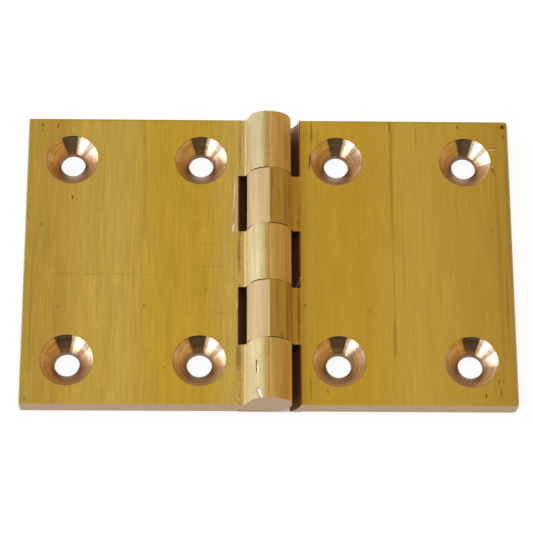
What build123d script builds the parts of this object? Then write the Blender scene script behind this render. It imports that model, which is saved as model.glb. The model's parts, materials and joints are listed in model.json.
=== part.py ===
from build123d import *
import math
import os

os.makedirs("parts", exist_ok=True)

# Main sizes in millimetres.
# X runs across the open hinge, Y along the pin, and Z up from the backs of the leaves.
LENGTH = 50.0
REACH = 40.15
THICKNESS = 3.5
FACE_DROP = 0.25
FACE_Z = THICKNESS
AXIS_Z = THICKNESS + FACE_DROP
KNUCKLE_R = AXIS_Z

# Barrel: five knuckles along the pin, three on one leaf and two on the other.
PIN_R = 1.75
RUNNING_CLEARANCE = 0.05
INNER_KNUCKLE = 9.87
SEAMS = [(i - 1.5) * INNER_KNUCKLE for i in range(4)]
SEAM_GAP = 0.09
SCOOP_R = KNUCKLE_R + 1.29

# Drawn bar: the knuckle's flank falls from the crown over a shoulder to its root on the leaf.
SHOULDER_X = 2.95
SHOULDER_R = 3.69
FLANK_BULGE = 0.4
ROOT_X = 3.9
ROOT_FILLET = 0.35

# The free side of each knuckle is milled a little smaller than the drawn round.
MILLED_DEPTH = 0.12
MILLED_R = KNUCKLE_R - MILLED_DEPTH
THREE_KNUCKLE_CUT_X = 0.3
TWO_KNUCKLE_CUT_X = 0.0

# Roundings of the outer long edges in section, and of the outer corners in plan.
THREE_KNUCKLE_TOP_ROUND = 0.3
THREE_KNUCKLE_BACK_ROUND = 0.4
THREE_KNUCKLE_CORNER_ROUND = 0.25
TWO_KNUCKLE_TOP_ROUND = 0.8
TWO_KNUCKLE_BACK_ROUND = 1.1
TWO_KNUCKLE_CORNER_ROUND = 0.55

# Countersunk screw holes, four in each leaf, set in from the leaf's outer edges and ends.
INNER_HOLE_X = 11.3
OUTER_HOLE_INSET = 7.45
END_HOLE_INSET = 7.4
BORE_R = 2.05
SINK_R = 4.32
OVERRUN = 1.0

# Shallow facets where the cutter has broken the three-knuckle leaf's edge beside its notches.
FACET_DEPTH = 0.1
FAR_FACET_WIDTHS = (1.1, 0.45)
NEAR_FACET_WIDTHS = (0.4, 0.4)

# Marks of use: a pit near a corner, and two nicks in the flank of the near knuckle.
PIT_INSET = (0.92, 0.84)
PIT_R = 0.36
PIT_DEPTH = 0.2
NICK_R = 0.2
NICK_DEPTH = 0.1
NICKS = (((2.1, 6.4), (2.0, 4.4)), ((1.95, 1.8), (1.3, -0.5)))


def drawn_section(cut_x, top_round, back_round):
    """Section of leaf and knuckle as the bar is drawn and milled, with the leaf along +X."""
    crown = (cut_x, AXIS_Z + math.sqrt(KNUCKLE_R**2 - cut_x**2))
    shoulder = (SHOULDER_X, AXIS_Z + math.sqrt(SHOULDER_R**2 - SHOULDER_X**2))
    milled_crown = (cut_x, AXIS_Z + math.sqrt(MILLED_R**2 - cut_x**2))
    root, outer_top, outer_back = (ROOT_X, FACE_Z), (REACH, FACE_Z), (REACH, 0)
    run, fall = shoulder[0] - crown[0], crown[1] - shoulder[1]
    lift = FLANK_BULGE / math.hypot(run, fall)
    bulge = (crown[0] + run / 2 + lift * fall, crown[1] - fall / 2 + lift * run)
    with BuildSketch(Plane.XZ) as section:
        with BuildLine():
            ThreePointArc(crown, bulge, shoulder)
            Polyline(shoulder, root, outer_top, outer_back, (0, 0), (0, MILLED_DEPTH))
            ThreePointArc((0, MILLED_DEPTH), (-MILLED_R, AXIS_Z), milled_crown)
            Line(milled_crown, crown)
        make_face()
        for corner, radius in ((root, ROOT_FILLET), (outer_top, top_round), (outer_back, back_round)):
            fillet(section.vertices().sort_by_distance(corner)[0], radius)
    return extrude(section.sketch, LENGTH / 2, both=True)


def along_pin(radius, start, end):
    """A round bar on the pin's axis between two places along Y."""
    bar = Cylinder(radius, end - start, rotation=(90, 0, 0))
    return Pos(0, (start + end) / 2, AXIS_Z) * bar


def knuckle_spans():
    """Start and end of each knuckle, with half of the seam's gap taken off at each seam."""
    half = SEAM_GAP / 2
    starts = [-LENGTH / 2] + [s + half for s in SEAMS]
    ends = [s - half for s in SEAMS] + [LENGTH / 2]
    return list(zip(starts, ends))


def notch_span(span):
    """The knuckle's span with its gaps, run out past the end of the bar at an end knuckle."""
    start, end = span
    start -= SEAM_GAP if start > -LENGTH / 2 else OVERRUN
    end += SEAM_GAP if end < LENGTH / 2 else OVERRUN
    return start, end


def edge_facet(span, widths):
    """Cutter's facet along the top of a notch's wall, with its own width at each end."""
    wall_x = math.sqrt(SCOOP_R**2 - FACE_DROP**2)
    sections = []
    for y, width in zip(notch_span(span), widths):
        slope = FACET_DEPTH / width
        low, high = (wall_x - OVERRUN, -FACET_DEPTH - slope * OVERRUN), (wall_x + width + OVERRUN, slope * OVERRUN)
        corners = [low, high, (high[0], OVERRUN), (low[0], OVERRUN)]
        sections.append(make_face(Polyline(*[(x, y, FACE_Z + z) for x, z in corners], close=True)))
    return loft(sections, ruled=True)


def screw_hole(x, y):
    """A screw's clearance hole with a countersink of 90 degrees from the leaf's face."""
    depth = SINK_R - BORE_R
    bore = Pos(x, y, THICKNESS / 2) * Cylinder(BORE_R, THICKNESS + 2 * OVERRUN)
    sink = Pos(x, y, FACE_Z - (depth - OVERRUN) / 2) * Cone(BORE_R, SINK_R + OVERRUN, depth + OVERRUN)
    return bore + sink


def corner_trim(corner_round):
    """Block as large as the leaf, with its outer corners rounded as they are in plan."""
    block = Box(2 * REACH, LENGTH, 4 * KNUCKLE_R)
    return fillet(block.edges().filter_by(Axis.Z), corner_round)


def leaf(own_knuckles, bore_r, corner_round, **section):
    """A whole leaf: the drawn bar, notched for the other leaf, bored for the pin and drilled."""
    body = drawn_section(**section) & corner_trim(corner_round)
    for index, span in enumerate(knuckle_spans()):
        if index not in own_knuckles:
            body -= along_pin(SCOOP_R, *notch_span(span))
    body -= along_pin(bore_r, -LENGTH, LENGTH)
    for x in (INNER_HOLE_X, REACH - OUTER_HOLE_INSET):
        for y in (END_HOLE_INSET - LENGTH / 2, LENGTH / 2 - END_HOLE_INSET):
            body -= screw_hole(x, y)
    return body


def pit():
    """A round pit in the face, beside the far outer corner."""
    ball_r = (PIT_R**2 + PIT_DEPTH**2) / (2 * PIT_DEPTH)
    x, y = REACH - PIT_INSET[0], LENGTH / 2 - PIT_INSET[1]
    return Pos(x, y, FACE_Z + ball_r - PIT_DEPTH) * Sphere(ball_r)


def nick(start, end):
    """A nick in the drawn flank between two places, each across and from the near end."""
    points = []
    for x, from_end in (start, end):
        z = AXIS_Z + math.sqrt(KNUCKLE_R**2 - x**2) + NICK_R - NICK_DEPTH
        points.append(Vector(x, from_end - LENGTH / 2, z))
    path = Line(*points)
    return sweep(Plane(points[0], z_dir=path % 0) * Circle(NICK_R), path)


def save(shape, name):
    solids = shape.solids()
    assert len(solids) == 1, (name, len(solids))
    export_step(solids[0], f"parts/{name}.step")
    print(name, round(solids[0].volume, 1), "mm3", solids[0].bounding_box())


three_knuckle = leaf(
    own_knuckles=(0, 2, 4), bore_r=PIN_R, corner_round=THREE_KNUCKLE_CORNER_ROUND,
    cut_x=THREE_KNUCKLE_CUT_X, top_round=THREE_KNUCKLE_TOP_ROUND, back_round=THREE_KNUCKLE_BACK_ROUND,
)
for index, widths in ((1, NEAR_FACET_WIDTHS), (3, FAR_FACET_WIDTHS)):
    three_knuckle -= edge_facet(knuckle_spans()[index], widths)
for start, end in NICKS:
    three_knuckle -= nick(start, end)

two_knuckle = leaf(
    own_knuckles=(1, 3), bore_r=PIN_R + RUNNING_CLEARANCE, corner_round=TWO_KNUCKLE_CORNER_ROUND,
    cut_x=TWO_KNUCKLE_CUT_X, top_round=TWO_KNUCKLE_TOP_ROUND, back_round=TWO_KNUCKLE_BACK_ROUND,
) - pit()

pin = along_pin(PIN_R, -LENGTH / 2, LENGTH / 2)

save(three_knuckle.mirror(Plane.YZ), "three_knuckle_leaf")
save(two_knuckle, "two_knuckle_leaf")
save(pin, "hinge_pin")
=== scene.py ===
import bpy
import json
import math
from mathutils import Matrix, Vector


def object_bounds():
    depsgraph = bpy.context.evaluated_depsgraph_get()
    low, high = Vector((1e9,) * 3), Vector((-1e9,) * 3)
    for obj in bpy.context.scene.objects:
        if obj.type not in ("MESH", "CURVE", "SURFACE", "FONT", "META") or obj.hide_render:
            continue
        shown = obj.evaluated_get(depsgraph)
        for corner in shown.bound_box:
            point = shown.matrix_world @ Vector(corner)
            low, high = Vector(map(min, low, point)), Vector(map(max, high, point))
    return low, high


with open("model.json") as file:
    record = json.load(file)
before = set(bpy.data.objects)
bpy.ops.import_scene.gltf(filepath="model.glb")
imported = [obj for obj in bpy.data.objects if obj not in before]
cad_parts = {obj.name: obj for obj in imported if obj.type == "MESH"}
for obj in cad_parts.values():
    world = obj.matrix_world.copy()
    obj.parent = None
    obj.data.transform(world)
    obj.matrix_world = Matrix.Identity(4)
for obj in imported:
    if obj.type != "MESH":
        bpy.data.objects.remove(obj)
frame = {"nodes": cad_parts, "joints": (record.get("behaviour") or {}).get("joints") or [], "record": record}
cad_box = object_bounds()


# Three-knuckle leaf: plate and knuckles 1, 3 and 5 are one bar of brass, drawn through a die, cut
# to length, milled out for the other leaf and countersunk. The drawn skin keeps fine lines along
# the bar, and the cutter leaves paler, pinker metal on the ends and on the knuckles' free side.
left_leaf = frame["nodes"]["three_knuckle_leaf"]

# Heights in millimetres, alike on both leaves: the plate's face, and where the painted shade begins
# and ends to thin out up a notch's wall.
pin_middle = frame["joints"][0]["pos_m"]
plate_face = 1000 * pin_middle[2] - 0.25
shade_thins, shade_ends = 2.8, 3.2

# Places in millimetres outwards from the pin.
knuckle_edge = 4.4
dirt_line, dirt_half_width = 4.75, 0.4
notch_edge = 5.05
facets_end = 6.8

# Places in millimetres along the pin from its middle.
notch_middle, notch_half_length = 9.87, 4.98
# Where the painted light at the open far end of the notch walls begins and where it is full.
lit_end_from, lit_end_to = 21.6, 23.2

# The four screw holes of a leaf: their middle, half the steps between them, and their radii.
screws = {mount["name"]: mount for mount in frame["record"]["mounts"]}["screws_two_knuckle_leaf"]
holes_middle = 1000 * screws["pos_m"][0]
half_step_across = screws["dims"]["spacing_x_mm"] / 2
half_step_along = screws["dims"]["spacing_y_mm"] / 2
bore_r = screws["dims"]["hole_r_mm"]
sink_r = 4.32

# How rough the metal is where it was drawn, linished, milled and turned.
drawn_rough, linished_rough, milled_rough, turned_rough = 0.42, 0.42, 0.5, 0.17

# Lines that the die leaves, the finest first, and a short grain at the end: pitch and length in
# millimetres, and depth of tone.
die_lines = ((0.32, 9.0, 0.07), (1.1, 26.0, 0.04), (3.0, 7.0, 0.03), (0.35, 0.6, 0.045))

# What lies on the metal, some of it painted shade, and a brown line on the notch rims; the metal
# itself where it was broken and bored; painted light on the far end of the notch walls; and painted
# highlights where the surface was struck.
tarnish_and_shade, notch_rim_brown = "#4a3010", "#6b4826"
broken_edge, painted_end_light, bored_metal, painted_glint = "#d6b47c", "#f0d2a4", "#7d5c34", "#fff3dc"

# Painted shade up a notch's wall from the back of the leaf, darkest low down, and tones out from a
# screw hole's middle.
notch_shade_tones = ((0.0, "#1a2a36"), (2.6, "#1e242a"), (3.1, "#a8683f"), (3.5, "#dca066"))
sink_tones = ((bore_r, "#a5845c"), (2.3, "#c6a47b"), (3.2, "#d3b188"), (4.15, "#d8b78e"), (sink_r, "#a68a60"))


def linear(shade):
    """An sRGB hex colour as linear red, green, blue and alpha."""
    parts = [int(shade[i:i + 2], 16) / 255 for i in (1, 3, 5)]
    return [c / 12.92 if c <= 0.04045 else ((c + 0.055) / 1.055) ** 2.4 for c in parts] + [1.0]


def add_node(tree, kind, inputs=(), **settings):
    """A new node with its settings. Each input is linked to a socket or node, or set to a value."""
    made = tree.nodes.new(kind)
    for name, value in settings.items():
        setattr(made, name, value)
    for place, value in dict(inputs).items():
        if isinstance(value, bpy.types.Node):
            value = value.outputs[0]
        if isinstance(value, bpy.types.NodeSocket):
            tree.links.new(value, made.inputs[place])
        else:
            made.inputs[place].default_value = value
    return made


def tones_across(tree, place, stops):
    """Colour of the metal by a place in millimetres, from stops of a place and its sRGB hex."""
    first, last = stops[0][0], stops[-1][0]
    share = add_node(tree, "ShaderNodeMapRange", {0: place, 1: first, 2: last})
    tones = add_node(tree, "ShaderNodeValToRGB", {0: share})
    ramp = tones.color_ramp.elements
    ramp[0].color, ramp[1].color = linear(stops[0][1]), linear(stops[-1][1])
    for mm, shade in stops[1:-1]:
        ramp.new((mm - first) / (last - first)).color = linear(shade)
    return tones


def lines_along(tree, mm, pitch, run, darkest, lightest):
    """Lightness of lines a pitch apart, each as long as the run, in millimetres."""
    place = add_node(tree, "ShaderNodeVectorMath", {0: mm, 1: [1 / p for p in (pitch, run, pitch)]},
                     operation="MULTIPLY")
    grain = add_node(tree, "ShaderNodeTexNoise", {
        "Vector": place, "Scale": 1.0, "Detail": 3.0, "Roughness": 0.65})
    return add_node(tree, "ShaderNodeMapRange", {0: grain, 1: 0.3, 2: 0.7, 3: darkest, 4: lightest})


def ovals(tree, mm, places):
    """How strongly a spot lies under marks: middle, half sizes, turn in degrees and strength."""
    jitter = add_node(tree, "ShaderNodeTexNoise", {"Vector": mm, "Scale": 2.2, "Detail": 2.0})
    jitter = add_node(tree, "ShaderNodeVectorMath", {0: jitter.outputs["Color"], 1: (0.5, 0.5, 0.5)},
                      operation="SUBTRACT")
    ragged = add_node(tree, "ShaderNodeVectorMath", {0: jitter, 1: (0.35, 0.35, 0), 2: mm},
                      operation="MULTIPLY_ADD")
    cover = 0.0
    for across, along, half_across, half_along, turn, strength in places:
        local = add_node(tree, "ShaderNodeVectorMath", {0: ragged, 1: (across, along, 0)},
                         operation="SUBTRACT")
        cos, sin = math.cos(math.radians(turn)), math.sin(math.radians(turn))
        squared = 0.0
        for axis in ((cos / half_across, sin / half_across, 0), (-sin / half_along, cos / half_along, 0)):
            part = add_node(tree, "ShaderNodeVectorMath", {0: local, 1: axis},
                            operation="DOT_PRODUCT").outputs["Value"]
            squared = add_node(tree, "ShaderNodeMath", {0: part, 1: part, 2: squared},
                               operation="MULTIPLY_ADD")
        oval = add_node(tree, "ShaderNodeMapRange", {0: squared, 1: 1.5, 2: 0.3, 3: 0.0, 4: strength})
        cover = add_node(tree, "ShaderNodeMath", {0: cover, 1: oval}, operation="MAXIMUM")
    return cover


def bar_skin(tree, mm, out, grain, skin, barrel):
    """Colour of the clean bar, drawn and milled, and how light its finest lines are."""
    on_plate = add_node(tree, "ShaderNodeMath", {0: out, 1: barrel[-1][0]}, operation="GREATER_THAN")
    colour = add_node(tree, "ShaderNodeMix", {
        0: on_plate, 6: tones_across(tree, out, barrel), 7: tones_across(tree, out, skin)},
        data_type="RGBA").outputs[2]
    lines = [lines_along(tree, mm, pitch, run, 1 - depth * grain, 1 + depth * grain)
             for pitch, run, depth in die_lines]
    for lightness in lines:
        colour = add_node(tree, "ShaderNodeVectorMath", {0: colour, 3: lightness}, operation="SCALE")

    # The knuckles keep deeper lines, from the die and from the cutter.
    on_knuckle = add_node(tree, "ShaderNodeMath", {0: out, 1: knuckle_edge}, operation="LESS_THAN")
    deeper = lines_along(tree, mm, 0.4, 14.0, 0.88, 1.12)
    deeper = add_node(tree, "ShaderNodeMix", {0: on_knuckle, 2: 1.0, 3: deeper})
    colour = add_node(tree, "ShaderNodeVectorMath", {0: colour, 3: deeper}, operation="SCALE")

    # Stripes along the whole bar are a little greyer.
    greyer = lines_along(tree, mm, 0.8, 30.0, 0.0, 0.5)
    greyed = add_node(tree, "ShaderNodeVectorMath", {0: colour, 1: (0.96, 1.0, 1.3)}, operation="MULTIPLY")
    colour = add_node(tree, "ShaderNodeMix", {0: greyer, 6: colour, 7: greyed}, data_type="RGBA").outputs[2]
    return colour, lines[0]


def cut_end(tree, mm):
    """Colour of an end that was sawn and linished: pinkish brass with faint strokes across it."""
    strokes = add_node(tree, "ShaderNodeVectorMath", {0: mm, 1: (0.5, 1.0, 4.0)}, operation="MULTIPLY")
    strokes = add_node(tree, "ShaderNodeTexNoise", {"Vector": strokes, "Scale": 1.0, "Detail": 4.0})
    return add_node(tree, "ShaderNodeMix", {
        0: strokes, 6: linear("#a28056"), 7: linear("#b39163")}, data_type="RGBA").outputs[2]


def notch_wall(tree, coords, near):
    """One on the notch walls, which are hollowed round the pin and face it, and zero elsewhere."""
    radial = add_node(tree, "ShaderNodeVectorMath", {
        0: coords.outputs["Object"], 1: pin_middle}, operation="SUBTRACT")
    radial = add_node(tree, "ShaderNodeVectorMath", {0: radial, 1: (1, 0, 1)}, operation="MULTIPLY")
    radial = add_node(tree, "ShaderNodeVectorMath", {0: radial}, operation="NORMALIZE")
    inward = add_node(tree, "ShaderNodeVectorMath", {0: radial, 1: coords.outputs["Normal"]},
                      operation="DOT_PRODUCT")
    inward = add_node(tree, "ShaderNodeMath", {0: inward.outputs["Value"], 1: -0.5}, operation="LESS_THAN")
    return add_node(tree, "ShaderNodeMath", {0: inward, 1: near}, operation="MULTIPLY")


def from_screw_hole(tree, out, along):
    """Distance from the nearest screw hole's middle: the four holes of a leaf are folded onto one."""
    fold_out = add_node(tree, "ShaderNodeMath", {0: out, 1: holes_middle}, operation="SUBTRACT")
    fold_out = add_node(tree, "ShaderNodeMath", {0: fold_out}, operation="ABSOLUTE")
    fold_out = add_node(tree, "ShaderNodeMath", {0: fold_out, 1: half_step_across}, operation="SUBTRACT")
    fold_along = add_node(tree, "ShaderNodeMath", {0: along}, operation="ABSOLUTE")
    fold_along = add_node(tree, "ShaderNodeMath", {0: fold_along, 1: half_step_along}, operation="SUBTRACT")
    from_hole = add_node(tree, "ShaderNodeCombineXYZ", {0: fold_out, 1: fold_along})
    return add_node(tree, "ShaderNodeVectorMath", {0: from_hole}, operation="LENGTH").outputs["Value"]


def drawn_bar_brass(name, side, cut_edge, rim_width, grain, skin, barrel, marks, glints):
    """Solid brass, drawn hard, milled and countersunk: straw yellow metal, olive where it is dull,
    whose lines draw a reflection out across the bar. Side is -1 for the leaf that lies along -X."""
    material = bpy.data.materials.new(name)
    material.use_nodes = True
    tree = material.node_tree
    tree.nodes.clear()
    coords = add_node(tree, "ShaderNodeTexCoord")
    mm = add_node(tree, "ShaderNodeVectorMath", {
        0: coords.outputs["Object"], 1: (1000 * side, 1000, 1000)}, operation="MULTIPLY")
    out, along, up = add_node(tree, "ShaderNodeSeparateXYZ", {0: mm}).outputs
    _, facing_end, facing_up = add_node(tree, "ShaderNodeSeparateXYZ", {0: coords.outputs["Normal"]}).outputs
    colour, fine = bar_skin(tree, mm, out, grain, skin, barrel)

    # Tarnish and dirt lie in marks, and in a dotted line along the root of the knuckles. The marks
    # in the nicks are painted shade.
    at_root = add_node(tree, "ShaderNodeMath", {0: out, 1: dirt_line}, operation="SUBTRACT")
    at_root = add_node(tree, "ShaderNodeMath", {0: at_root}, operation="ABSOLUTE")
    at_root = add_node(tree, "ShaderNodeMapRange", {0: at_root, 1: dirt_half_width, 2: 0.0})
    dots = lines_along(tree, mm, 0.3, 0.7, -0.7, 0.75)
    dots = add_node(tree, "ShaderNodeMath", {0: dots, 1: at_root}, operation="MULTIPLY", use_clamp=True)
    dark = add_node(tree, "ShaderNodeMath", {0: ovals(tree, mm, marks), 1: dots}, operation="MAXIMUM")
    on_top = add_node(tree, "ShaderNodeMath", {0: facing_up, 1: 0.15}, operation="GREATER_THAN")
    dark = add_node(tree, "ShaderNodeMath", {0: dark, 1: on_top}, operation="MULTIPLY")
    colour = add_node(tree, "ShaderNodeMix", {0: dark, 6: colour, 7: linear(tarnish_and_shade)},
                      data_type="RGBA").outputs[2]

    # Facets that the cutter left beside the notches lie a little below the plate's face.
    below = add_node(tree, "ShaderNodeMath", {0: up, 1: plate_face - 0.008}, operation="LESS_THAN")
    level = add_node(tree, "ShaderNodeMath", {0: facing_up, 1: 0.9}, operation="GREATER_THAN")
    near = add_node(tree, "ShaderNodeMath", {0: out, 1: facets_end}, operation="LESS_THAN")
    facet = add_node(tree, "ShaderNodeMath", {0: below, 1: level}, operation="MULTIPLY")
    facet = add_node(tree, "ShaderNodeMath", {0: facet, 1: near}, operation="MULTIPLY")
    broken = add_node(tree, "ShaderNodeVectorMath", {
        0: linear(broken_edge)[:3], 3: lines_along(tree, mm, 0.35, 3.0, 0.62, 1.3)}, operation="SCALE")
    colour = add_node(tree, "ShaderNodeMix", {0: facet, 6: colour, 7: broken}, data_type="RGBA").outputs[2]

    # The cut ends are pinker than the skin.
    ends = add_node(tree, "ShaderNodeMath", {0: facing_end}, operation="ABSOLUTE")
    ends = add_node(tree, "ShaderNodeMath", {0: ends, 1: 0.7}, operation="GREATER_THAN")
    colour = add_node(tree, "ShaderNodeMix", {0: ends, 6: colour, 7: cut_end(tree, mm)},
                      data_type="RGBA").outputs[2]

    # The notch walls carry painted shade, black up to just below their rims, and painted light at the
    # far end, where light comes in.
    wall = notch_wall(tree, coords, near)
    lit_far_end = add_node(tree, "ShaderNodeMapRange", {0: along, 1: lit_end_from, 2: lit_end_to})
    painted_wall_shade = add_node(tree, "ShaderNodeMapRange", {0: up, 1: shade_ends, 2: shade_thins})
    painted_wall_shade = add_node(tree, "ShaderNodeMath", {0: painted_wall_shade, 1: lit_far_end}, operation="SUBTRACT", use_clamp=True)
    painted_wall_shade = add_node(tree, "ShaderNodeMath", {0: painted_wall_shade, 1: wall}, operation="MULTIPLY")
    wall_shade_colour = add_node(tree, "ShaderNodeMix", {
        0: lit_far_end, 6: tones_across(tree, up, notch_shade_tones), 7: linear(painted_end_light)}, data_type="RGBA").outputs[2]
    colour = add_node(tree, "ShaderNodeMix", {0: wall, 6: colour, 7: wall_shade_colour}, data_type="RGBA").outputs[2]

    # A thin brown line runs along the rims of the notches. The two-knuckle leaf has
    # its notches where the other leaf has its knuckles.
    beside = add_node(tree, "ShaderNodeMath", {0: along}, operation="ABSOLUTE")
    beside = add_node(tree, "ShaderNodeMath", {0: beside, 1: notch_middle, 2: notch_half_length},
                      operation="COMPARE")
    if side > 0:
        beside = add_node(tree, "ShaderNodeMath", {0: 1.0, 1: beside}, operation="SUBTRACT")
    rim = add_node(tree, "ShaderNodeMapRange", {
        0: out, 1: notch_edge + rim_width, 2: notch_edge + rim_width / 2, 3: 0.0, 4: 0.9})
    rim = add_node(tree, "ShaderNodeMath", {0: rim, 1: beside}, operation="MULTIPLY")
    rim = add_node(tree, "ShaderNodeMath", {0: rim, 1: on_top}, operation="MULTIPLY")
    colour = add_node(tree, "ShaderNodeMix", {0: rim, 6: colour, 7: linear(notch_rim_brown)},
                      data_type="RGBA").outputs[2]

    # Countersinks are turned bright, with fine rings, drawn here at about twice their real pitch.
    hole_r = from_screw_hole(tree, out, along)
    in_hole = add_node(tree, "ShaderNodeMath", {0: hole_r, 1: sink_r + 0.08}, operation="LESS_THAN")
    sloped = add_node(tree, "ShaderNodeMath", {0: facing_up, 1: 0.5, 2: 0.4}, operation="COMPARE")
    turned = add_node(tree, "ShaderNodeMath", {0: in_hole, 1: sloped}, operation="MULTIPLY")
    upright = add_node(tree, "ShaderNodeMath", {0: facing_up, 1: 0.0, 2: 0.1}, operation="COMPARE")
    bored = add_node(tree, "ShaderNodeMath", {0: in_hole, 1: upright}, operation="MULTIPLY")
    ring_place = add_node(tree, "ShaderNodeCombineXYZ", {0: hole_r, 1: out, 2: along})
    ring_place = add_node(tree, "ShaderNodeVectorMath", {0: ring_place, 1: (3.2, 0.25, 0.25)},
                          operation="MULTIPLY")
    rings = add_node(tree, "ShaderNodeTexNoise", {"Vector": ring_place, "Scale": 1.0, "Detail": 2.0})
    ring_light = add_node(tree, "ShaderNodeMapRange", {0: rings, 1: 0.3, 2: 0.7, 3: 0.74, 4: 1.22})
    sink = add_node(tree, "ShaderNodeVectorMath", {
        0: tones_across(tree, hole_r, sink_tones), 3: ring_light}, operation="SCALE")
    colour = add_node(tree, "ShaderNodeMix", {0: turned, 6: colour, 7: sink}, data_type="RGBA").outputs[2]
    colour = add_node(tree, "ShaderNodeMix", {0: bored, 6: colour, 7: linear(bored_metal)},
                      data_type="RGBA").outputs[2]

    # Painted highlights, near white, where the surface has been struck.
    glint_faces = add_node(tree, "ShaderNodeMath", {0: on_top, 1: wall}, operation="MAXIMUM")
    bright = add_node(tree, "ShaderNodeMath", {0: ovals(tree, mm, glints), 1: glint_faces}, operation="MULTIPLY")
    colour = add_node(tree, "ShaderNodeMix", {0: bright, 6: colour, 7: linear(painted_glint)},
                      data_type="RGBA").outputs[2]

    # Lines spread a reflection across them: across the bar on the skin, down the slope in a sink.
    slope = add_node(tree, "ShaderNodeVectorMath", {0: coords.outputs["Normal"], 1: (1, 1, 0)},
                     operation="MULTIPLY")
    across = add_node(tree, "ShaderNodeMix", {0: turned, 4: (1, 0, 0), 5: slope}, data_type="VECTOR")
    across = add_node(tree, "ShaderNodeVectorTransform", {0: across.outputs[1]}, vector_type="VECTOR",
                      convert_from="OBJECT", convert_to="WORLD")
    rough = add_node(tree, "ShaderNodeMapRange", {
        0: out, 1: cut_edge + 0.05, 2: cut_edge - 0.05, 3: drawn_rough, 4: milled_rough})
    rough = add_node(tree, "ShaderNodeMix", {0: ends, 2: rough, 3: linished_rough})
    rough = add_node(tree, "ShaderNodeMix", {0: turned, 2: rough, 3: turned_rough})
    height = add_node(tree, "ShaderNodeMix", {0: turned, 2: fine, 3: rings.outputs[0]})
    height = add_node(tree, "ShaderNodeMath", {0: height, 1: dark}, operation="SUBTRACT")
    bump = add_node(tree, "ShaderNodeBump", {"Strength": 0.2, "Distance": 0.00004, "Height": height})

    # Where the notch walls carry painted shade, the surface is made no metal.
    unshaded_share = add_node(tree, "ShaderNodeMath", {0: 1.0, 1: painted_wall_shade}, operation="SUBTRACT")
    shader = add_node(tree, "ShaderNodeBsdfPrincipled", {
        "Base Color": colour, "Metallic": unshaded_share, "Roughness": rough, "Anisotropic": 0.9,
        "Specular IOR Level": 0.1, "Tangent": across, "Normal": bump})
    add_node(tree, "ShaderNodeOutputMaterial", {0: shader})
    return material


# Tones of the plate and of the barrel by the place outwards from the pin. Below zero lies the free
# side of the knuckles.
left_skin = (
    (5.3, "#c3a44c"), (10.5, "#be9931"), (18.0, "#bd9930"), (23.5, "#c1a145"), (31.0, "#be9d40"),
    (34.5, "#b4903a"), (39.4, "#b3923a"), (40.15, "#9f8b46"))
# The darker stop at 2.6 is painted shade beside the shoulder of the knuckles' profile.
left_barrel = (
    (-3.7, "#e6c07a"), (-2.9, "#d5ab5b"), (-1.5, "#cca557"), (0.3, "#cea85b"), (0.55, "#b4954f"),
    (1.25, "#c1ab6e"), (2.6, "#b9a471"), (3.2, "#d4c186"), (3.8, "#c0aa70"), (4.25, "#c6a45a"),
    (5.3, "#c3a24a"))

# Marks of use: place out from the pin and along it, half sizes, turn in degrees, and strength.
left_marks = (
    # Tarnish on the far edge and on the far knuckle.
    (22.5, 24.95, 17.6, 0.25, 0, 0.22), (3.1, 20.0, 0.9, 6.5, 0, 0.13), (-3.3, 20.0, 0.9, 6.5, 0, 0.22),
    # Dull lines from the die.
    (20.6, 15.0, 0.35, 11.0, 0, 0.14), (20.8, -12.0, 0.3, 5.0, 0, 0.14), (20.9, 0.0, 0.2, 25.0, 0, 0.06),
    (26.9, 2.0, 0.1, 4.5, 0, 0.12), (38.7, -9.0, 0.14, 13.0, 0, 0.25), (3.05, 14.5, 0.12, 3.0, 0, 0.3),
    # Scratches across the plate, and faint smears beside them.
    (28.5, -2.8, 10.9, 0.1, 0, 0.16), (9.4, -1.35, 2.8, 0.09, 0, 0.2), (7.9, -9.5, 1.3, 0.09, 0, 0.25),
    (9.1, -9.6, 0.1, 1.4, 0, 0.15), (10.6, -5.6, 0.7, 0.2, -40, 0.1), (9.9, 2.6, 1.6, 0.2, 0, 0.08),
    # Specks.
    (32.5, 10.83, 0.16, 0.45, 0, 0.7), (37.4, 5.97, 0.13, 0.25, 0, 0.5), (36.2, 4.1, 0.1, 0.3, 25, 0.25),
    (35.25, 23.8, 0.15, 0.45, 15, 0.6), (37.8, 23.9, 0.24, 0.35, 0, 0.5), (37.8, 22.9, 0.18, 0.25, 0, 0.45),
    (17.0, -18.7, 0.12, 0.25, 0, 0.4), (34.3, -8.5, 0.3, 0.25, 0, 0.25), (20.4, -8.3, 0.25, 0.35, 0, 0.35),
    (39.2, -24.2, 0.3, 0.4, 0, 0.3), (17.7, -5.6, 0.12, 0.3, 0, 0.3),
    # Dirt along the root, and painted shade in the two nicks of the near knuckle.
    (4.95, -16.8, 0.45, 2.4, 0, 0.5), (4.95, 1.2, 0.3, 3.6, 0, 0.45), (4.85, 20.0, 0.15, 4.6, 0, 0.35),
    (2.12, -19.6, 0.12, 1.15, -3, 0.75), (1.98, -24.15, 0.08, 1.0, -22, 0.5))

# Painted highlights in the nicks, and on the broken edge of the far notch.
left_glints = (
    (1.95, -20.0, 0.08, 0.8, -3, 0.8), (1.62, -24.2, 0.2, 1.0, -22, 1.0),
    (5.9, 5.6, 0.12, 0.9, 8, 0.8), (5.75, 11.2, 0.1, 3.4, 3, 0.5))
left_leaf.material_slots[0].material = drawn_bar_brass(
    "drawn brass, three-knuckle leaf", side=-1, cut_edge=0.3, rim_width=0.1, grain=1.45,
    skin=left_skin, barrel=left_barrel, marks=left_marks, glints=left_glints)


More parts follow.
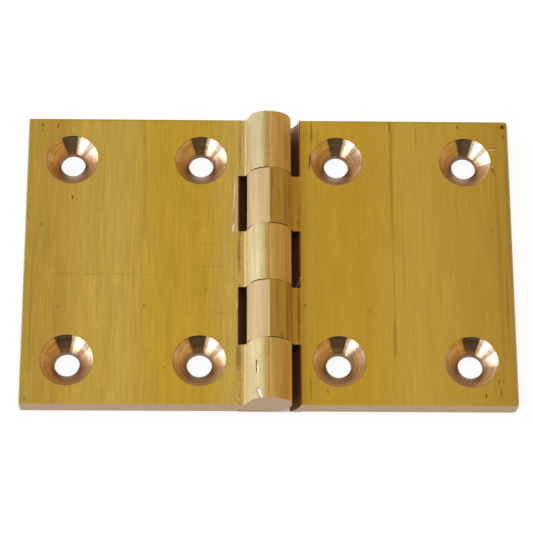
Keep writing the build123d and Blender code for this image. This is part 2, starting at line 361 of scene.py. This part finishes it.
# Two-knuckle leaf: the same drawn and milled bar. The cutter has run up to the crown of its
# knuckles and left a crease there, and the drawn skin beyond is duller and more olive.
right_leaf = frame["nodes"]["two_knuckle_leaf"]
right_skin = (
    (5.0, "#b88d31"), (6.6, "#c39f36"), (15.0, "#be972f"), (23.6, "#c2a03d"), (36.0, "#b69235"),
    (39.3, "#b18c33"), (40.15, "#c4b27a"))
# The light stop just below zero is a painted highlight on the crease at the crown, and the dip at 2.85 is
# painted shade along the shoulder of the profile.
right_barrel = (
    (-3.7, "#c2a272"), (-1.5, "#c5a672"), (-0.2, "#d6bb80"), (-0.02, "#e4be7c"), (0.0, "#ae8b45"),
    (0.8, "#af8b36"), (2.5, "#c4a151"), (2.85, "#b69541"), (3.2, "#cba95b"), (3.7, "#cba955"),
    (4.1, "#b7903f"), (5.0, "#b88d31"))
right_marks = (
    # Tarnish on the far and outer edges, and a faint patch on the plate.
    (22.5, 24.95, 17.6, 0.25, 0, 0.15), (39.6, 10.0, 0.35, 14.0, 0, 0.15), (16.4, -8.9, 0.6, 0.5, 0, 0.12),
    # Dull lines from the die on the plate.
    (20.35, 18.0, 0.32, 18.0, 0, 0.26), (20.2, 24.2, 0.14, 1.6, 0, 0.6), (20.4, -13.5, 0.3, 4.0, 0, 0.3),
    (20.4, 0.0, 0.2, 25.0, 0, 0.14), (22.1, 4.0, 0.1, 10.0, 0, 0.18), (24.6, 22.0, 0.08, 1.8, 0, 0.35),
    (31.0, 9.0, 0.12, 3.5, 0, 0.15), (37.9, 0.0, 0.35, 22.0, 0, 0.12), (38.9, -8.0, 0.25, 8.0, 0, 0.18),
    # Dark streaks beside the inner holes.
    (6.8, 17.6, 0.17, 1.6, -5, 0.8), (7.1, 23.0, 0.16, 2.4, 0, 0.5), (6.65, -22.0, 0.14, 2.5, 2, 0.4),
    # Specks, most of them beside the outer holes, and a scratch.
    (5.75, -7.9, 0.16, 0.16, 0, 0.8), (9.4, -22.8, 0.12, 0.5, 10, 0.6), (34.8, -23.3, 0.13, 0.45, 12, 0.85),
    (37.3, -22.7, 0.15, 0.7, 0, 0.45), (37.0, -20.9, 0.15, 0.35, 0, 0.55), (37.7, -20.8, 0.13, 0.35, 0, 0.45),
    (37.1, 18.4, 0.2, 0.35, 20, 0.3), (37.75, 15.3, 0.14, 0.3, 0, 0.45), (37.4, 16.1, 0.25, 0.45, 0, 0.55),
    (31.65, 24.0, 0.16, 0.35, 0, 0.7), (39.3, 22.3, 0.22, 0.35, 0, 0.4), (36.7, 5.2, 0.12, 0.5, 0, 0.35),
    (37.5, 20.2, 1.0, 0.09, 6, 0.4),
    # A dark spot in the pit near the corner, and dirt along the root.
    (39.23, 24.16, 0.34, 0.34, 0, 0.95), (4.8, -9.9, 0.2, 5.4, 0, 0.55), (5.0, 7.5, 0.25, 3.0, 0, 0.22),
    # Lines from the die and scuffs on the two knuckles.
    (0.35, 12.5, 0.25, 2.0, 0, 0.3), (0.3, 9.0, 0.12, 6.0, 0, 0.25), (2.5, 9.5, 0.14, 6.0, 0, 0.35),
    (3.3, 11.0, 0.14, 4.0, 0, 0.3), (1.2, -9.0, 0.14, 6.0, 0, 0.18), (2.85, -10.0, 0.16, 6.0, 0, 0.3),
    (3.5, -9.0, 0.14, 6.0, 0, 0.3), (2.0, -14.3, 0.3, 0.5, 0, 0.3))

# Painted highlights in the scratch beside the far outer hole, and on a chip at the middle notch.
right_glints = ((37.2, 19.85, 0.9, 0.1, 6, 0.4), (4.8, -3.7, 0.1, 0.75, -40, 0.9))
right_leaf.material_slots[0].material = drawn_bar_brass(
    "drawn brass, two-knuckle leaf", side=1, cut_edge=0.0, rim_width=0.22, grain=0.9,
    skin=right_skin, barrel=right_barrel, marks=right_marks, glints=right_glints)


# Hinge pin: a plain brass rod, pressed in and linished flush with the ends of the barrel, so that
# its ends show the same strokes as the metal round them.
linished = bpy.data.materials.new("linished brass, pin")
linished.use_nodes = True
tree = linished.node_tree
tree.nodes.clear()
place = add_node(tree, "ShaderNodeTexCoord").outputs["Object"]
place = add_node(tree, "ShaderNodeVectorMath", {0: place, 1: (-1000, 1000, 1000)}, operation="MULTIPLY")
across = add_node(tree, "ShaderNodeVectorTransform", {0: (1, 0, 0)}, vector_type="VECTOR",
                  convert_from="OBJECT", convert_to="WORLD")
shader = add_node(tree, "ShaderNodeBsdfPrincipled", {
    "Base Color": cut_end(tree, place), "Metallic": 1.0, "Roughness": linished_rough, "Anisotropic": 0.9,
    "Tangent": across})
add_node(tree, "ShaderNodeOutputMaterial", {0: shader})
frame["nodes"]["hinge_pin"].material_slots[0].material = linished


# Floor: white paper that runs out of every view. It shows nearly plain white to the camera and to
# the metal and keeps a part of the object's shadow. Under the barrel its plain white is masked off,
# and for the metal's reflections it is dimmed under the whole hinge: a painted shadow, dark there.
paper_size, paper_drop = 6, 0.00002
barrel_half_width, barrel_near_end, barrel_far_end = 0.0052, -0.0251, 0.0227
plain_share, covered_share, plain_strength = 0.8, 0.008, 1.08


def clear_of(tree, spot, half_width, near_end, far_end):
    """One where the floor lies outside a rectangle under the hinge, and zero inside it."""
    half_length = (far_end - near_end) / 2
    shift = -(near_end + far_end) / 2 / half_length
    place = add_node(tree, "ShaderNodeVectorMath", {
        0: spot, 1: (1 / half_width, 1 / half_length, 0), 2: (0, shift, 0)}, operation="MULTIPLY_ADD")
    place = add_node(tree, "ShaderNodeVectorMath", {0: place}, operation="ABSOLUTE")
    x, y, _ = add_node(tree, "ShaderNodeSeparateXYZ", {0: place}).outputs
    larger = add_node(tree, "ShaderNodeMath", {0: x, 1: y}, operation="MAXIMUM")
    return add_node(tree, "ShaderNodeMath", {0: larger, 1: 1.0}, operation="GREATER_THAN")


bpy.ops.object.select_all(action="DESELECT")
bpy.ops.mesh.primitive_plane_add(size=paper_size, location=(0, 0, -paper_drop))
floor = bpy.context.object
floor.name = "floor"
paper = bpy.data.materials.new("white paper floor")
paper.use_nodes = True
tree = paper.node_tree
tree.nodes.clear()
path = add_node(tree, "ShaderNodeLightPath").outputs
spot = add_node(tree, "ShaderNodeTexCoord").outputs["Object"]
# Masks of the painted shadow: a rectangle under the barrel, and one under the whole hinge.
clear = clear_of(tree, spot, barrel_half_width, barrel_near_end, barrel_far_end)
open_floor = clear_of(tree, spot, cad_box[1][0], cad_box[0][1], cad_box[1][1])
mirrored = add_node(tree, "ShaderNodeMapRange", {0: open_floor, 3: 0.65, 4: 1.0})
mirrored = add_node(tree, "ShaderNodeMath", {0: mirrored, 1: path["Is Glossy Ray"]}, operation="MULTIPLY")
seen = add_node(tree, "ShaderNodeMath", {0: path["Is Camera Ray"], 1: mirrored}, operation="MAXIMUM")
seen = add_node(tree, "ShaderNodeMath", {0: seen, 1: path["Is Transmission Ray"]}, operation="MAXIMUM")
share = add_node(tree, "ShaderNodeMath", {0: seen, 1: plain_share}, operation="MULTIPLY")
share = add_node(tree, "ShaderNodeMath", {0: share, 1: clear}, operation="MULTIPLY")
share = add_node(tree, "ShaderNodeMath", {0: share, 1: covered_share}, operation="MAXIMUM")
matt = add_node(tree, "ShaderNodeBsdfDiffuse", {"Color": linear("#f2f2f2")})
white = add_node(tree, "ShaderNodeEmission", {"Color": (1, 1, 1, 1), "Strength": plain_strength})
mixed = add_node(tree, "ShaderNodeMixShader", {0: share, 1: matt, 2: white})
add_node(tree, "ShaderNodeOutputMaterial", {0: mixed})
floor.data.materials.append(paper)


# Light: a plain studio, white overhead, and cool and brighter on the left. From the right it is
# warm and dimmer, as from boards of wood, with a paler stretch low down, and the dark of the
# camera's side is low in front.
left_cool, right_warm = (1.3, 1.45, 1.9, 1), (0.68, 0.46, 0.14, 1)
right_low, front_dark = (0.86, 0.76, 0.62, 1), (0.05, 0.04, 0.03, 1)
world = bpy.data.worlds.new("studio")
world.use_nodes = True
bpy.context.scene.world = world
tree = world.node_tree
tree.nodes.clear()
way = add_node(tree, "ShaderNodeTexCoord").outputs["Generated"]
way_x, way_y, way_z = add_node(tree, "ShaderNodeSeparateXYZ", {0: way}).outputs
rightwards = add_node(tree, "ShaderNodeMapRange", {0: way_x, 1: 0.0, 2: 0.6},
                      interpolation_type="SMOOTHSTEP")
leftwards = add_node(tree, "ShaderNodeMapRange", {0: way_x, 1: -0.2, 2: -0.85},
                     interpolation_type="SMOOTHSTEP")
light = add_node(tree, "ShaderNodeMix", {0: rightwards, 6: (1, 1, 1, 1), 7: right_warm},
                 data_type="RGBA").outputs[2]
light = add_node(tree, "ShaderNodeMix", {0: leftwards, 6: light, 7: left_cool},
                 data_type="RGBA").outputs[2]
bearing = add_node(tree, "ShaderNodeMath", {0: way_y, 1: way_x}, operation="ARCTAN2")
low = add_node(tree, "ShaderNodeMapRange", {0: way_z, 1: 0.35, 2: 0.2}, interpolation_type="SMOOTHSTEP")
boards = add_node(tree, "ShaderNodeTexNoise", {"W": bearing, "Scale": 5.0, "Detail": 2.0},
                  noise_dimensions="1D")
boards = add_node(tree, "ShaderNodeMapRange", {0: boards, 1: 0.35, 2: 0.65, 3: 0.6, 4: 1.35})
boards = add_node(tree, "ShaderNodeMix", {0: low, 2: 1.0, 3: boards})
boards = add_node(tree, "ShaderNodeMix", {0: rightwards, 2: 1.0, 3: boards})
light = add_node(tree, "ShaderNodeVectorMath", {0: light, 3: boards}, operation="SCALE")
low = add_node(tree, "ShaderNodeMapRange", {0: way_z, 1: 0.2, 2: 0.12}, interpolation_type="SMOOTHSTEP")
beside = add_node(tree, "ShaderNodeMapRange", {0: bearing, 1: math.radians(-13), 2: math.radians(-11)})
beside = add_node(tree, "ShaderNodeMath", {0: beside, 1: low}, operation="MULTIPLY")
beside = add_node(tree, "ShaderNodeMath", {0: beside, 1: rightwards}, operation="MULTIPLY")
light = add_node(tree, "ShaderNodeMix", {0: beside, 6: light, 7: right_low}, data_type="RGBA").outputs[2]
dark_from = add_node(tree, "ShaderNodeMapRange", {0: bearing, 1: math.radians(-113), 2: math.radians(-110)})
dark_to = add_node(tree, "ShaderNodeMapRange", {0: bearing, 1: math.radians(-52), 2: math.radians(-58)})
dark_low = add_node(tree, "ShaderNodeMapRange", {0: way_z, 1: 0.62, 2: 0.56})
front = add_node(tree, "ShaderNodeMath", {0: dark_from, 1: dark_to}, operation="MULTIPLY")
front = add_node(tree, "ShaderNodeMath", {0: front, 1: dark_low}, operation="MULTIPLY")
light = add_node(tree, "ShaderNodeMix", {0: front, 6: light, 7: front_dark}, data_type="RGBA").outputs[2]
shown = add_node(tree, "ShaderNodeLightPath").outputs["Is Camera Ray"]
light = add_node(tree, "ShaderNodeMix", {0: shown, 6: light, 7: (1, 1, 1, 1)}, data_type="RGBA").outputs[2]
sky = add_node(tree, "ShaderNodeBackground", {0: light, 1: 1.0})
add_node(tree, "ShaderNodeOutputWorld", {0: sky})

# Two soft boxes stand low on the left, side by side, and aim at the middle of the hinge.
box_distance, box_strength, box_colour = 1.2, 2.75, (0.88, 0.95, 1.25)
for name, azimuth, elevation, width, height in (
        ("near soft box", -137, 17, 0.53, 0.76), ("far soft box", 171, 13, 0.8, 0.66)):
    heading, lift = math.radians(azimuth), math.radians(elevation)
    towards = Vector((math.cos(heading) * math.cos(lift), math.sin(heading) * math.cos(lift), math.sin(lift)))
    lamp = bpy.data.lights.new(name, "AREA")
    lamp.shape = "RECTANGLE"
    lamp.size, lamp.size_y = width, height
    lamp.energy = math.pi * width * height * box_strength
    lamp.color = box_colour
    box = bpy.data.objects.new(name, lamp)
    bpy.context.scene.collection.objects.link(box)
    box.location = box_distance * towards
    box.rotation_euler = towards.to_track_quat("Z", "Y").to_euler()


# Camera: above the near side of the hinge, with a long lens, as the photograph was taken. It stands
# 371 mm from the pin's middle, and its focal length is counted in pixels of the picture.
sideways, above, roll = math.radians(-1.2735), math.radians(68.7805), math.radians(-0.0873)
standpoint = (-0.000442, -0.001276, 0.371275)
picture_px, focal_px, film_width = 533, 2266.7, 36
turn = (Matrix.Rotation(sideways, 4, "Y") @ Matrix.Rotation(math.pi / 2 - above, 4, "X")
        @ Matrix.Rotation(roll, 4, "Z"))
lens = bpy.data.cameras.new("camera")
lens.sensor_width = film_width
lens.lens = focal_px * film_width / picture_px
lens.clip_start, lens.clip_end = 0.01, 20
camera = bpy.data.objects.new("camera", lens)
bpy.context.scene.collection.objects.link(camera)
camera.matrix_world = Matrix.Translation(pin_middle) @ turn @ Matrix.Translation(standpoint)
bpy.context.scene.camera = camera
bpy.context.scene.view_settings.view_transform = "Standard"
